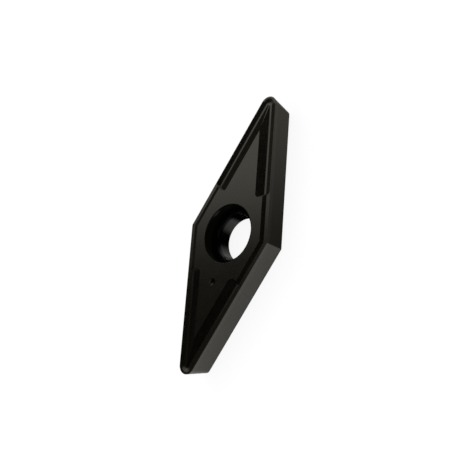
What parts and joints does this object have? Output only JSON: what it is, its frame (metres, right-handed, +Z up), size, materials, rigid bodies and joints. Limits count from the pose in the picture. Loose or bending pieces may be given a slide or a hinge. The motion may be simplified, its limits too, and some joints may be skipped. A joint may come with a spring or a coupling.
{
  "type": "carbide insert",
  "caption": "Slim rhombic turning insert with rounded cutting noses, pressed chip grooves, tapered flanks and a countersunk screw hole.",
  "frame": {"origin": "on the axis of the screw hole, at the flat seating face", "axes": "+Z up out of the rake face along the screw hole; +X through one cutting nose, along the long diagonal; +Y through an obtuse corner. The dot on the plateau lies on -X"},
  "size_m": [0.0272, 0.01, 0.0029],
  "materials": {
    "coated_carbide": "satin near-black vapour-deposited coating over sintered tungsten carbide"
  },
  "bodies": {
    "root": {"insert_body": "coated_carbide"}
  },
  "joints": []
}
